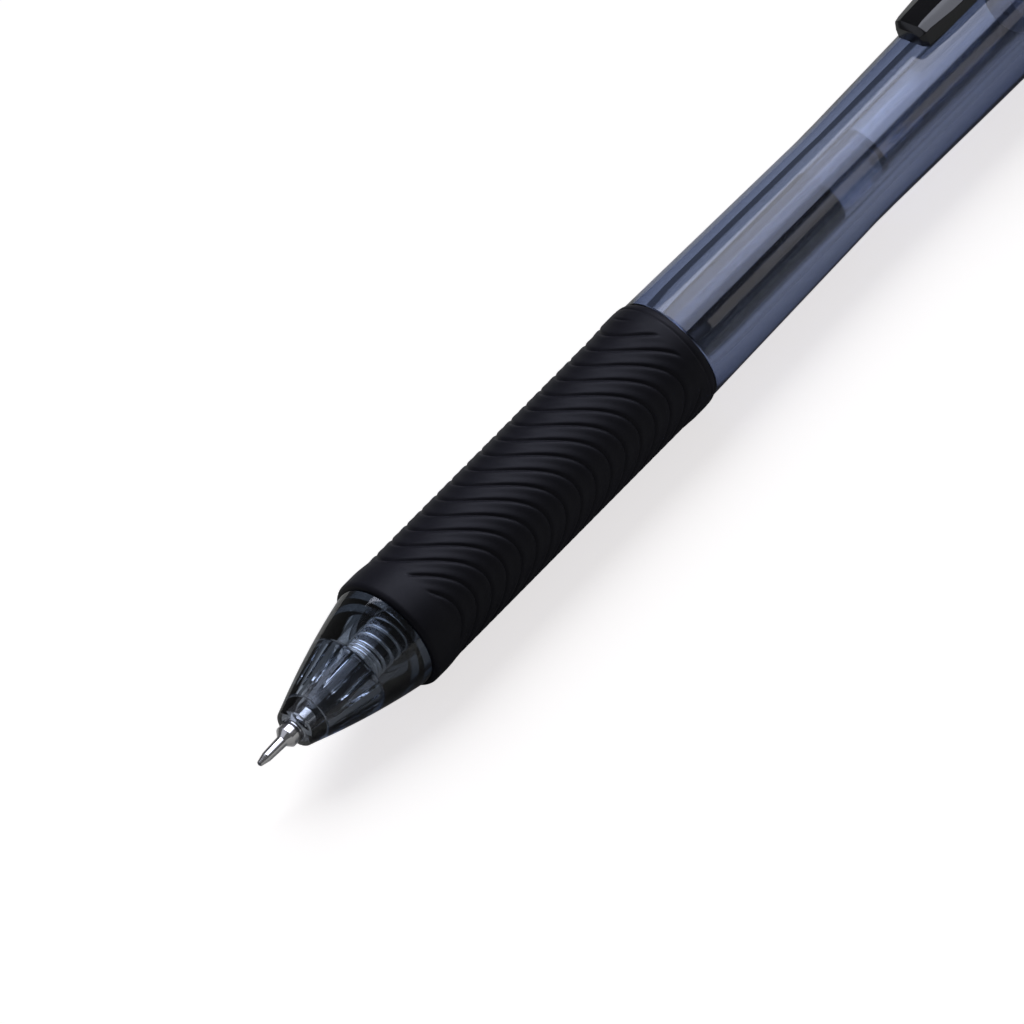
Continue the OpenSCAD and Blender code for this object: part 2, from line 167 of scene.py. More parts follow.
# Painted shadow in the glow seen through the pen: it falls almost to nothing where the pen stands, and
# under the nose it is cut to a quarter as painted shade.
painted_shadow_glow = map_range(nodes, links, aside, contact_half, contact_edge, 0.01, 0.4, "SMOOTHSTEP")
painted_nose_shade = map_range(nodes, links, spot.outputs["X"], -45 * MM, -35 * MM, 0.25, 1.0)
inside = math_node(nodes, links, "MULTIPLY", painted_shadow_glow, painted_nose_shade)
seen = mix_node(nodes, links, ray.outputs["Is Camera Ray"], inside, 0.729)
# Painted shade in reflections: mirrored in the pen, the glow is dimmed, most near the pen.
mirrored = math_node(nodes, links, "SUBTRACT", ray.outputs["Is Glossy Ray"],
                     ray.outputs["Is Transmission Ray"])
mirrored.node.use_clamp = True
far_off = map_range(nodes, links, aside, 15 * MM, 60 * MM, 0.02, 0.08)
links.new(mix_node(nodes, links, mirrored, seen, far_off), shader.inputs["Emission Strength"])
# Painted shadow in the colour: seen through the pen, the table turns nearly black where the pen stands and
# under the nose.
painted_shadow_share = map_range(nodes, links, aside, contact_half, contact_edge, 1.0, 0.0, "SMOOTHSTEP")
under_nose = math_node(nodes, links, "SUBTRACT", 1.0, painted_nose_shade)
shaded = math_node(nodes, links, "MAXIMUM", painted_shadow_share, under_nose)
painted_shadow_mask = math_node(nodes, links, "MULTIPLY", shaded, ray.outputs["Is Transmission Ray"])
links.new(mix_node(nodes, links, painted_shadow_mask, (0.6, 0.61, 0.61, 1), (0.06, 0.06, 0.07, 1), "RGBA"),
          shader.inputs["Base Color"])
table_mesh.materials.append(table_white)

overhead_data = bpy.data.lights.new("overhead", "SUN")
overhead_data.energy = 1.55
overhead_data.angle = math.radians(48)
overhead = link_object("overhead", overhead_data)
overhead.rotation_euler = Vector((0.42, 0.6, 1)).to_track_quat("Z", "Y").to_euler()
overhead.visible_glossy = False
overhead.visible_transmission = False


def softbox(name, turn, spread, first, last, radiance, colour):
    """A softbox over the pen, seen only in reflections. turn and spread are angles round the pen's
    axis from straight up, in degrees, and first and last are how far it reaches along X."""
    reach = 0.6
    width = 2 * reach * math.tan(math.radians(spread / 2))
    data = bpy.data.lights.new(name, "AREA")
    data.shape = "RECTANGLE"
    data.size, data.size_y = last - first, width
    data.energy = radiance * math.pi * (last - first) * width
    data.color = colour
    box = link_object(name, data)
    away = Vector((0, -math.sin(math.radians(turn)), math.cos(math.radians(turn))))
    middle = Vector(((first + last) / 2, 0, AXIS_Z)) + away * reach
    facing_pen = Matrix((along, away.cross(along), away)).transposed().to_4x4()
    box.matrix_world = Matrix.Translation(middle) @ facing_pen
    box.visible_camera = False
    box.visible_diffuse = False


skylight_blue = (0.83, 0.86, 1.0)
warm_white = (1.0, 0.95, 0.98)
softbox("broad_softbox", 8, 70, 0.04, 2.2, 1.8, skylight_blue)
softbox("mid_softbox", 0, 52, 0.04, 2.2, 1.3, skylight_blue)
softbox("far_softbox", -7, 34, 0.04, 2.2, 1.3, skylight_blue)
softbox("low_softbox", 65, 18, 0.297, 0.39, 1.05, warm_white)
softbox("front_softbox", -20, 60, -1.5, -0.1, 0.5, skylight_blue)

room = bpy.data.worlds.new("room")
bpy.context.scene.world = room
room.use_nodes = True
nodes, links = room.node_tree.nodes, room.node_tree.links
ray = nodes.new("ShaderNodeLightPath")
walls = mix_node(nodes, links, ray.outputs["Is Transmission Ray"], 0.10, 0.16)
backdrop = mix_node(nodes, links, ray.outputs["Is Camera Ray"], walls, 1.25)
links.new(backdrop, nodes["Background"].inputs["Strength"])
nodes["Background"].inputs["Color"].default_value = (0.94, 0.96, 1.0, 1)

bpy.context.scene.view_settings.view_transform = "Standard"
bpy.context.scene.view_settings.look = "None"


# --- Metal point -------------------------------------------------------------
# Turned from nickel-silver wire on a lathe: a slender front, a cone-shaped
# shoulder and a shank pressed into the holder. It keeps its fine turning rings.

def arc_corner(before, corner, after, radius, steps=5):
    """Points of a rounded corner of an outline, from one straight run to the next."""
    a, b, c = Vector(before), Vector(corner), Vector(after)
    u, v = (a - b), (c - b)
    room = min(u.length, v.length) * 0.48
    if radius <= 0 or room <= 0:
        return [tuple(b)]
    u.normalize()
    v.normalize()
    half = u.angle(v) / 2
    if half > math.radians(88):
        return [tuple(b)]
    reach = min(radius / math.tan(half), room)
    radius = reach * math.tan(half)
    centre = b + (u + v).normalized() * (radius / math.sin(half))
    start, end = b + u * reach, b + v * reach
    points = []
    for i in range(steps + 1):
        way = (start - centre).lerp(end - centre, i / steps)
        points.append(tuple(centre + way.normalized() * radius))
    return points


def rounded(outline, closed=False):
    """Rounds each corner of an outline of (station, radius, corner radius) points."""
    points = []
    count = len(outline)
    for i, (station, radius, corner) in enumerate(outline):
        ends = not closed and i in (0, count - 1)
        if ends or corner == 0:
            points.append((station, radius))
            continue
        before, after = outline[i - 1], outline[(i + 1) % count]
        points += arc_corner(before[:2], (station, radius), after[:2], corner)
    return points


def finish_mesh(mesh, sharp_degrees=32):
    cleaner = bmesh.new()
    cleaner.from_mesh(mesh)
    bmesh.ops.remove_doubles(cleaner, verts=cleaner.verts, dist=0.0005 * MM)
    bmesh.ops.dissolve_degenerate(cleaner, edges=cleaner.edges, dist=0.0002 * MM)
    bmesh.ops.recalc_face_normals(cleaner, faces=cleaner.faces)
    cleaner.to_mesh(mesh)
    cleaner.free()
    for face in mesh.polygons:
        face.use_smooth = True
    mesh.set_sharp_from_angle(angle=math.radians(sharp_degrees))
    mesh.update()
    return mesh


def band(a, b, count):
    """Faces between two rings of count points each, which start at points a and b."""
    return [(a + k, a + (k + 1) % count, b + (k + 1) % count, b + k) for k in range(count)]


def skin_rings(name, stations, radii, angles, closed, sharp_degrees):
    """Skins rings of points round the pen's axis, one row of stations and radii to a ring."""
    x = TIP_X + stations * MM
    y = -radii * np.sin(angles) * MM
    z = AXIS_Z + radii * np.cos(angles) * MM
    points = np.stack([x, y, z], axis=-1).reshape(-1, 3)
    rings, columns = stations.shape
    faces = []
    for i in range(rings if closed else rings - 1):
        faces += band(i * columns, (i + 1) % rings * columns, columns)
    mesh = bpy.data.meshes.new(name)
    mesh.from_pydata(points.tolist(), [], faces)
    return link_object(name, finish_mesh(mesh, sharp_degrees))


def lathe(name, outline, closed=False, columns=128, ripple=None, sharp_degrees=32):
    """Spins an outline of (station, radius) points, in mm from the ball, round the pen's axis.
    ripple(station, radius, angle) may give each point another radius."""
    rows = np.array(outline, float)
    angles = np.arange(columns) * 2 * math.pi / columns
    stations = np.repeat(rows[:, :1], columns, axis=1)
    radii = np.repeat(rows[:, 1:2], columns, axis=1)
    if ripple:
        radii = ripple(stations, radii, np.repeat(angles[None, :], len(rows), axis=0))
    return skin_rings(name, stations, radii, angles, closed, sharp_degrees)


def station_of(node, end):
    """Station, in mm from the ball, of the front (0) or rear (1) end of a CAD node."""
    return (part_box(node)[end].x - TIP_X) / MM


def radius_of(node):
    low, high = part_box(node)
    return (high.y - low.y) / 2 / MM


def skin_group(name, inputs):
    """An empty node group with numbers as inputs, and a height and a roughness as outputs."""
    group = bpy.data.node_groups.new(name, "ShaderNodeTree")
    for label, default in inputs:
        made = group.interface.new_socket(label, in_out="INPUT", socket_type="NodeSocketFloat")
        made.default_value = default
    for label in ("Height", "Roughness"):
        group.interface.new_socket(label, in_out="OUTPUT", socket_type="NodeSocketFloat")
    return group, group.nodes.new("NodeGroupInput"), group.nodes.new("NodeGroupOutput")


def coordinate(nodes):
    return nodes.new("ShaderNodeTexCoord").outputs["Object"]


def noise(nodes, links, scale, detail=3.0, stretch=(1, 1, 1)):
    """A noise whose scale is in lumps per metre, stretched along the pen's axes."""
    mapping = nodes.new("ShaderNodeMapping")
    mapping.inputs["Scale"].default_value = stretch
    links.new(coordinate(nodes), mapping.inputs["Vector"])
    node = nodes.new("ShaderNodeTexNoise")
    feed(links, node.inputs["Scale"], scale)
    node.inputs["Detail"].default_value = detail
    links.new(mapping.outputs["Vector"], node.inputs["Vector"])
    return node.outputs["Fac"]


def surface_bump(nodes, links, height, depth_mm, shader):
    bump = nodes.new("ShaderNodeBump")
    bump.inputs["Distance"].default_value = depth_mm * MM
    bump.inputs["Strength"].default_value = 1.0
    links.new(height, bump.inputs["Height"])
    links.new(bump.outputs["Normal"], shader.inputs["Normal"])


def dress(nodes, links, shader, group, depth_mm=0.0, **values):
    """Gives a shader the roughness of a skin group, and its height as a bump of that depth. The
    values are the group's inputs, each named by its label in small letters joined by underscores."""
    skin = nodes.new("ShaderNodeGroup")
    skin.node_tree = group
    for name, value in values.items():
        skin.inputs[name.replace("_", " ").capitalize()].default_value = value
    links.new(skin.outputs["Roughness"], shader.inputs["Roughness"])
    if depth_mm:
        surface_bump(nodes, links, skin.outputs["Height"], depth_mm, shader)


def cloud_colour(nodes, links, shader, scale, one, other, detail=3.0):
    """Clouds two close colours together over a surface."""
    cloud = noise(nodes, links, scale, detail)
    links.new(mix_node(nodes, links, cloud, (*one, 1), (*other, 1), "RGBA"),
              shader.inputs["Base Color"])


def build_turned_rings():
    """Fine rings that a lathe tool leaves, as a height and a roughness that vary along X."""
    group, given, taken = skin_group(
        "turned_rings", [("Rings per mm", 14.0), ("Base roughness", 0.2), ("Spread", 0.1)])
    nodes, links = group.nodes, group.links
    split = nodes.new("ShaderNodeSeparateXYZ")
    links.new(coordinate(nodes), split.inputs[0])
    turns = math_node(nodes, links, "MULTIPLY", split.outputs["X"], given.outputs["Rings per mm"])
    phase = math_node(nodes, links, "MULTIPLY", turns, 2 * math.pi / MM)
    wave = math_node(nodes, links, "SINE", phase)
    broken = noise(nodes, links, 9000, 2.0, (1, 0.05, 0.05))
    height = math_node(nodes, links, "MULTIPLY_ADD", wave, 0.35, broken)
    links.new(height, taken.inputs["Height"])
    links.new(math_node(nodes, links, "MULTIPLY_ADD", broken, given.outputs["Spread"],
                        given.outputs["Base roughness"]), taken.inputs["Roughness"])
    return group


turned_rings = build_turned_rings()

nickel_silver, nodes, links, shader = new_material("nickel_silver")
dress(nodes, links, shader, turned_rings, 0.002, rings_per_mm=11.0, base_roughness=0.10, spread=0.12)
cloud_colour(nodes, links, shader, 1500, (0.80, 0.79, 0.79), (0.66, 0.64, 0.64))
shader.inputs["Metallic"].default_value = 1.0

ball_r = radius_of("writing_ball")
point_r = radius_of("metal_point")
shoulder_back = 3.9
point = lathe("point", rounded([
    (ball_r * 0.62, 0.0, 0), (ball_r * 0.55, ball_r * 0.9, 0), (ball_r * 0.52, ball_r + 0.03, 0.02),
    (1.0, 0.47, 0.1), (1.08, 0.50, 0.03), (2.0, 0.54, 1), (3.35, 0.59, 0.12),
    (shoulder_back, point_r, 0.06), (5.1, point_r, 0.05),
    (5.25, point_r - 0.09, 0.03), (5.45, point_r - 0.09, 0.03), (5.6, point_r, 0.05),
    (8.0, point_r, 0), (8.0, 0.0, 0)]), columns=96)
point.data.materials.append(nickel_silver)
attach(point, "refill")
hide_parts("metal_point")


# --- Writing ball ------------------------------------------------------------
# A half-millimetre ball of hard metal, lapped smooth and wet with a trace of
# ink. It sits in the lip of the point and turns as the pen writes.

ball_metal, nodes, links, shader = new_material("ball_metal")
shader.inputs["Metallic"].default_value = 1.0
cloud_colour(nodes, links, shader, 6000, (0.42, 0.43, 0.46), (0.02, 0.02, 0.03))
shader.inputs["Roughness"].default_value = 0.12

ball_mesh = bpy.data.meshes.new("ball")
maker = bmesh.new()
bmesh.ops.create_icosphere(maker, subdivisions=4, radius=ball_r * MM)
bmesh.ops.translate(maker, verts=maker.verts, vec=(TIP_X + ball_r * MM, 0, AXIS_Z))
maker.to_mesh(ball_mesh)
maker.free()
for face in ball_mesh.polygons:
    face.use_smooth = True
ball = link_object("ball", ball_mesh)
ball.data.materials.append(ball_metal)
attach(ball, "ball")
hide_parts("writing_ball")


# --- Tip holder --------------------------------------------------------------
# Moulded in dark plastic. Its mouth grips the shank of the point, its long neck
# runs through the spring, and its flange and plug close the front of the tube.

def build_moulded_skin():
    """Skin of a moulding: soft flow marks and a fine tooth, as a height and a roughness."""
    group, given, taken = skin_group(
        "moulded_skin", [("Grain per m", 9000.0), ("Base roughness", 0.35), ("Spread", 0.1)])
    nodes, links = group.nodes, group.links
    fine = noise(nodes, links, given.outputs["Grain per m"], 4.0)
    flow = noise(nodes, links, 260, 2.0, (0.3, 1, 1))
    links.new(math_node(nodes, links, "MULTIPLY_ADD", flow, 0.6, fine), taken.inputs["Height"])
    links.new(math_node(nodes, links, "MULTIPLY_ADD", flow, given.outputs["Spread"],
                        given.outputs["Base roughness"]), taken.inputs["Roughness"])
    return group


moulded_skin = build_moulded_skin()

holder_plastic, nodes, links, shader = new_material("holder_plastic")
dress(nodes, links, shader, moulded_skin, 0.0008, base_roughness=0.22, spread=0.1)
shader.inputs["Base Color"].default_value = (0.008, 0.009, 0.013, 1)

holder_front = station_of("tip_holder", 0)
holder_back = station_of("tip_holder", 1)
spring_back = station_of("return_spring", 1)
refill_r = radius_of("refill_tube")
tube_front = station_of("refill_tube", 0)
neck_r = 1.85
holder = lathe("holder", rounded([
    (holder_front, point_r, 0), (holder_front, point_r + 0.22, 0.08),
    (holder_front + 1.2, point_r + 0.22, 0.1), (holder_front + 2.2, neck_r, 0.15),
    (tube_front - 1.2, neck_r, 0.1), (tube_front - 1.2, refill_r, 0.12),
    (tube_front - 0.02, refill_r, 0.05), (tube_front - 0.02, refill_r - 0.5, 0),
    (holder_back, refill_r - 0.5, 0), (holder_back, point_r, 0)], closed=True), closed=True)
holder.data.materials.append(holder_plastic)
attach(holder, "refill")
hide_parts("tip_holder")


# --- Refill tube, ink and grease ---------------------------------------------
# A clear extruded tube full of black gel ink that has been partly used. A plug of
# clear grease follows the ink, and a vented plug closes the tail.

def let_lamps_through(nodes, links, shader, shade):
    """Lets lamp light pass clear plastic in a straight line, so that what is inside is lit."""
    output = nodes["Material Output"]
    ray = nodes.new("ShaderNodeLightPath")
    clear = nodes.new("ShaderNodeBsdfTransparent")
    clear.inputs["Color"].default_value = (*shade, 1)
    mix = nodes.new("ShaderNodeMixShader")
    links.new(ray.outputs["Is Shadow Ray"], mix.inputs[0])
    links.new(shader.outputs[0], mix.inputs[1])
    links.new(clear.outputs[0], mix.inputs[2])
    links.new(mix.outputs[0], output.inputs["Surface"])


refill_clear, nodes, links, shader = new_material("refill_clear")
shader.inputs["Base Color"].default_value = (0.80, 0.82, 0.86, 1)
shader.inputs["Transmission Weight"].default_value = 1.0
shader.inputs["IOR"].default_value = 1.46
dress(nodes, links, shader, moulded_skin, base_roughness=0.05, spread=0.06)
let_lamps_through(nodes, links, shader, (0.85, 0.87, 0.92))

tube_back = station_of("refill_tube", 1)
bore = refill_r - 0.45
tube = lathe("tube", rounded([
    (tube_front, refill_r, 0.05), (tube_back, refill_r, 0.05), (tube_back, bore, 0.03),
    (tube_front, bore, 0.03)], closed=True), closed=True)
tube.data.materials.append(refill_clear)
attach(tube, "refill")
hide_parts("refill_tube")

ink_black, nodes, links, shader = new_material("ink_black")
shader.inputs["Base Color"].default_value = (0.003, 0.003, 0.005, 1)
shader.inputs["Roughness"].default_value = 0.12
streaks = noise(nodes, links, 400, 3.0, (0.2, 1, 1))
surface_bump(nodes, links, streaks, 0.01, shader)

ink_front = station_of("gel_ink", 0)
ink_back = station_of("gel_ink", 1)
ink_r = bore + 0.05
ink = lathe("ink", rounded([
    (ink_front, 0, 0), (ink_front, ink_r, 0.05), (ink_back, ink_r, 0.03),
    (ink_back - 0.35, ink_r - 0.5, 0.6), (ink_back - 0.6, 0, 0)]))
ink.data.materials.append(ink_black)
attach(ink, "refill")
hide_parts("gel_ink")

grease_clear, nodes, links, shader = new_material("grease_clear")
shader.inputs["Base Color"].default_value = (0.42, 0.44, 0.50, 1)
shader.inputs["Transmission Weight"].default_value = 1.0
shader.inputs["IOR"].default_value = 1.40
cloud = noise(nodes, links, 700, 3.0)
links.new(math_node(nodes, links, "MULTIPLY_ADD", cloud, 0.10, 0.05), shader.inputs["Roughness"])
let_lamps_through(nodes, links, shader, (0.7, 0.72, 0.78))

grease_back = station_of("grease_follower", 1)
grease_r = bore - 0.03
grease = lathe("grease", rounded([
    (ink_back - 0.2, 0, 0), (ink_back + 0.05, grease_r - 0.4, 0.4), (ink_back + 0.05, grease_r, 0.1),
    (grease_back, grease_r, 0.05), (grease_back - 0.5, grease_r - 0.7, 1.0),
    (grease_back - 0.8, 0, 0)]))
grease.data.materials.append(grease_clear)
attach(grease, "refill")
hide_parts("grease_follower")


# --- Return spring -----------------------------------------------------------
# Coiled from bright steel wire, with closed turns at both ends. It bears on the
# shoulder in the nose and on the flange of the holder.

spring_steel, nodes, links, shader = new_material("spring_steel")
dress(nodes, links, shader, turned_rings, rings_per_mm=4.0, base_roughness=0.14, spread=0.12)
shader.inputs["Base Color"].default_value = (0.90, 0.91, 0.90, 1)
shader.inputs["Metallic"].default_value = 1.0

spring_front = station_of("return_spring", 0)
wire = 0.4
coil_r = radius_of("return_spring") - wire / 2
closed_turns = 4
open_turns = 13
closed_rise = closed_turns * wire * 1.06
open_rise = spring_back - spring_front - closed_rise - 2 * wire
steps_per_turn = 40
wire_sides = 12
all_turns = closed_turns + open_turns + 1


def coil_rise(turn):
    """Station of the wire's middle after so many turns."""
    start = spring_front + wire / 2
    if turn < closed_turns:
        return start + turn * wire * 1.06
    if turn < closed_turns + open_turns:
        return start + closed_rise + (turn - closed_turns) / open_turns * open_rise
    return start + closed_rise + open_rise + (turn - closed_turns - open_turns) * wire


points, faces = [], []
for i in range(all_turns * steps_per_turn + 1):
    angle = 2 * math.pi * i / steps_per_turn
    for k in range(wire_sides):
        tilt = 2 * math.pi * k / wire_sides
        r = coil_r + wire / 2 * math.cos(tilt)
        s = coil_rise(i / steps_per_turn) + wire / 2 * math.sin(tilt)
        points.append((TIP_X + s * MM, -r * math.sin(angle) * MM, AXIS_Z + r * math.cos(angle) * MM))
    if i:
        faces += band((i - 1) * wire_sides, i * wire_sides, wire_sides)
faces.append(tuple(range(wire_sides)))
faces.append(tuple(reversed(range(len(points) - wire_sides, len(points)))))
spring_mesh = bpy.data.meshes.new("spring")
spring_mesh.from_pydata(points, [], faces)
spring = link_object("spring", finish_mesh(spring_mesh, 60))
spring.data.materials.append(spring_steel)
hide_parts("return_spring")
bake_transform(spring)


# --- Nose cone ---------------------------------------------------------------
# Injection moulded in clear smoky plastic and polished. Flutes inside the cone
# lead the point to its hole, a shoulder behind them carries the spring, and a
# threaded spigot screws into the barrel.

def build_clear_skin():
    """Skin of polished clear plastic: hair scratches and faint waves, as a height and a roughness."""
    group, given, taken = skin_group("clear_skin", [("Base roughness", 0.02), ("Spread", 0.05)])
    nodes, links = group.nodes, group.links
    waves = noise(nodes, links, 180, 2.0, (0.4, 1, 1))
    hairs = noise(nodes, links, 2600, 2.0, (0.04, 1, 1))
    links.new(math_node(nodes, links, "MULTIPLY_ADD", hairs, 0.1, waves), taken.inputs["Height"])
    links.new(math_node(nodes, links, "MULTIPLY_ADD", hairs, given.outputs["Spread"],
                        given.outputs["Base roughness"]), taken.inputs["Roughness"])
    return group


clear_skin = build_clear_skin()


def smoky_plastic(name, density, tint, wave_depth):
    """Clear plastic with dye all through it, so that thick walls are darker than thin ones."""
    material, nodes, links, shader = new_material(name)
    shader.inputs["Base Color"].default_value = (0.97, 0.98, 1.0, 1)
    shader.inputs["Transmission Weight"].default_value = 1.0
    shader.inputs["IOR"].default_value = 1.49
    dress(nodes, links, shader, clear_skin, wave_depth, base_roughness=0.015, spread=0.04)
    dye = nodes.new("ShaderNodeVolumeAbsorption")
    dye.inputs["Color"].default_value = (*tint, 1)
    dye.inputs["Density"].default_value = density
    links.new(dye.outputs[0], nodes["Material Output"].inputs["Volume"])
    let_lamps_through(nodes, links, shader, (0.6, 0.63, 0.68))
    return material


smoky_nose = smoky_plastic("smoky_nose", 560, (0.38, 0.46, 0.56), 0.0002)

nose_front = station_of("nose_cone", 0)
nose_spigot_back = station_of("nose_cone", 1)
nose_back = station_of("grip_sleeve", 0) - 0.05
nose_rear_r = radius_of("nose_cone")
nose_mouth_r = 1.95
nose_swell = 0.3
seat = spring_front - 0.05
spigot_r = 3.75
nose_bore = 3.25
cone_steps = 26
mouth_bore = point_r + 0.12
mouth_step = 0.75
mouth_step_r = 1.6
thread_height = 0.25
thread_pitch = 1.6
thread_turns = 3
thread_half = 0.5
thread_front = nose_back + 0.05 + thread_pitch
thread_span = thread_pitch * thread_turns + 2 * thread_half
thread_rows = 64
flute_count = 15
flute_front = nose_front + 2.55
flute_front_r = 1.8
flute_back_r = 2.7
flute_steps = 14
rib_r = 1.98


def nose_radius(share):
    """Radius of the outside of the cone, from its mouth (0) to the grip (1)."""
    straight = nose_mouth_r + (nose_rear_r - nose_mouth_r) * share
    return straight + 4 * nose_swell * share * (1 - share)


nose_outline = [(nose_front, mouth_bore)]
nose_outline += arc_corner((nose_front, mouth_bore), (nose_front, nose_mouth_r + 0.02),
                           (nose_front + 1, nose_radius(0.08)), 0.34, 7)
nose_outline += [(nose_front + (nose_back - nose_front) * i / cone_steps, nose_radius(i / cone_steps))
                 for i in range(2, cone_steps)]
nose_outline += [(nose_back - 0.06, nose_rear_r - 0.02), (nose_back, nose_rear_r - 0.08),
                 (nose_back, spigot_r)]
nose_outline += [(thread_front - thread_half + thread_span * i / thread_rows, spigot_r)
                 for i in range(thread_rows + 1)]
nose_outline += [(nose_spigot_back, spigot_r), (nose_spigot_back, nose_bore), (seat + 0.12, nose_bore),
                 (seat, nose_bore - 0.12), (seat, flute_back_r)]
for i in range(flute_steps + 1):
    share = 1 - i / flute_steps
    nose_outline.append((flute_front + (seat - flute_front) * share,
                         flute_front_r + (flute_back_r - flute_front_r) * share))
nose_outline += [(flute_front - 0.05, mouth_step_r + 0.02), (nose_front + mouth_step + 0.05, mouth_step_r),
                 (nose_front + mouth_step, mouth_bore)]


def nose_relief(stations, radii, angles):
    """Ribs that stand in from the fluted wall, and the thread that winds round the spigot."""
    fluted = (stations > flute_front - 0.01) & (stations < seat + 0.01) & (radii < flute_back_r + 0.05)
    turn = np.abs((angles * flute_count / (2 * math.pi)) % 1 - 0.5) * 2
    # A rib is full over a tenth of the way from one to the next, and gone over three tenths.
    ridge = np.clip(1.5 - 5.0 * (1 - turn), 0, 1)
    rib = np.minimum(radii, rib_r)
    shaped = np.where(fluted, radii + (rib - radii) * ridge, radii)
    winding = (stations - thread_front) / thread_pitch - angles / (2 * math.pi)
    nearest = np.round(winding)
    from_crest = np.abs(winding - nearest) * thread_pitch
    height = thread_height * np.clip((thread_half - from_crest) / (thread_half * 2 / 3), 0, 1)
    threaded = (np.abs(radii - spigot_r) < 0.001) & (nearest > -0.5) & (nearest < thread_turns - 0.5)
    return np.where(threaded, shaped + height, shaped)


nose = lathe("nose", nose_outline, closed=True, columns=300, ripple=nose_relief, sharp_degrees=38)
nose.data.materials.append(smoky_nose)
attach(nose, "nose")
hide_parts("nose_cone")


# --- Barrel ------------------------------------------------------------------
# A long clear tube moulded in the same smoky plastic, narrowed at a waist. Its
# front runs on under the grip as a thinner core, and its rear end carries the cap.

smoky_barrel = smoky_plastic("smoky_barrel", 620, (0.34, 0.42, 0.60), 0.0008)

grip_front = station_of("grip_sleeve", 0)
grip_back = station_of("grip_sleeve", 1)
cap_front = station_of("rear_cap", 0)
barrel_back = station_of("barrel_tube", 1)
guide_front = station_of("cam_guide", 0)
core_r = 4.85
barrel_front_r = 5.76
waist_r = 5.22
waist = grip_back + 25.15
barrel_rear_r = radius_of("barrel_tube")
barrel_bore = 3.8
socket_r = 4.08
socket_depth = 8.5
guide_r = radius_of("cam_guide")
tenon_r = guide_r + 0.68
taper_steps = 8
flare_steps = 20


def flare_radius(station):
    """Radius of the barrel behind its waist."""
    share = (station - waist) / (cap_front - waist)
    return waist_r + (barrel_rear_r - waist_r) * math.sin(math.pi / 2 * share)


barrel_outline = [(grip_front, core_r), (grip_back + 0.02, core_r)]
barrel_outline += arc_corner((grip_back + 0.02, core_r), (grip_back + 0.02, barrel_front_r),
                             (grip_back + 2, barrel_front_r), 0.2, 4)
barrel_outline += [(grip_back + (waist - 2 - grip_back) * i / taper_steps,
                    barrel_front_r + (waist_r + 0.06 - barrel_front_r) * i / taper_steps)
                   for i in range(1, taper_steps + 1)]
barrel_outline += [(waist - 1, waist_r + 0.035), (waist, waist_r + 0.025), (waist + 1, waist_r + 0.04)]
barrel_outline += [(waist + (cap_front - waist) * i / flare_steps,
                    flare_radius(waist + (cap_front - waist) * i / flare_steps))
                   for i in range(1, flare_steps + 1)]
barrel_outline += [(cap_front, tenon_r), (barrel_back, tenon_r), (barrel_back, guide_r),
                   (guide_front, guide_r), (guide_front, barrel_bore),
                   (waist, barrel_bore - 0.02), (grip_back + 6, barrel_bore + 0.22),
                   (grip_front + socket_depth, barrel_bore + 0.26),
                   (grip_front + socket_depth, socket_r),
                   (grip_front, socket_r)]
barrel = lathe("barrel", barrel_outline, closed=True, columns=160)
barrel.data.materials.append(smoky_barrel)
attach(barrel, "barrel")
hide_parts("barrel_tube")


# --- Rubber grip -------------------------------------------------------------
# A long sleeve moulded in soft black rubber and stretched over the core of the
# barrel. Fine grooves run round it in waves between two plain end bands.

grip_rubber, nodes, links, shader = new_material("grip_rubber")
dress(nodes, links, shader, moulded_skin, 0.006, grain_per_m=14000.0, base_roughness=0.42, spread=0.12)
cloud_colour(nodes, links, shader, 900, (0.006, 0.006, 0.010), (0.010, 0.010, 0.015), 4.0)
shader.inputs["Specular IOR Level"].default_value = 0.12

groove_pitch = 2.15
groove_depth = 0.17
groove_half = 0.17
wave_height = 5.1
wave_peak = clip_turn + math.radians(30)
band_front = grip_front + 3.2
band_back = grip_back - 2.0
lip_r = 6.05
body_r = 5.89
rear_r = 6.01
columns = 220
rows_per_groove = 16


def smooth_step(value, low, high):
    share = np.clip((value - low) / (high - low), 0, 1)
    return share * share * (3 - 2 * share)


def grip_shape(stations):
    """Radius of the grip without its grooves: a lip in front and a swelling at the rear."""
    front = stations - grip_front
    rear = grip_back - stations
    radius = body_r + (lip_r - body_r) * (1 - smooth_step(front, 2.0, 4.2))
    radius = radius + (rear_r - body_r) * (1 - smooth_step(rear, 2.2, 4.6))
    front_edge = 0.42 * (1 - np.sqrt(np.clip(1 - (1 - np.clip(front / 0.55, 0, 1)) ** 2, 0, 1)))
    rear_edge = 0.30 * (1 - np.sqrt(np.clip(1 - (1 - np.clip(rear / 1.1, 0, 1)) ** 2, 0, 1)))
    rim_line = 0.07 * np.exp(-((rear - 0.85) / 0.13) ** 2)
    return radius - front_edge - rear_edge - rim_line


angles = np.arange(columns) * 2 * math.pi / columns
wave = wave_height / 2 * np.cos(2 * (angles - wave_peak))
wave_slope = -wave_height * np.sin(2 * (angles - wave_peak)) / body_r
widen = np.sqrt(1 + wave_slope ** 2)
first = math.floor((band_front - wave_height - grip_front) / groove_pitch) - 1
last = math.ceil((band_back + wave_height - grip_front) / groove_pitch) + 1
# The rows of points lie closer together in a groove than between two grooves.
in_groove = [0.5 * math.copysign(abs(t) ** 1.6, t) for t in np.linspace(-1, 1, rows_per_groove + 1)[:-1]]
offsets = [grip_front + (k + t) * groove_pitch for k in range(first, last) for t in in_groove]
front_rows = [grip_front + d for d in (0, 0.02, 0.06, 0.12, 0.2, 0.3, 0.42, 0.56, 0.9, 1.4, 2.0, 2.6, 2.9)]
rear_rows = [grip_back - d for d in (1.7, 1.4, 1.2, 1.08, 1.0, 0.92, 0.85, 0.78, 0.7, 0.62, 0.5, 0.35, 0.2,
                                     0.1, 0.04, 0.0)]

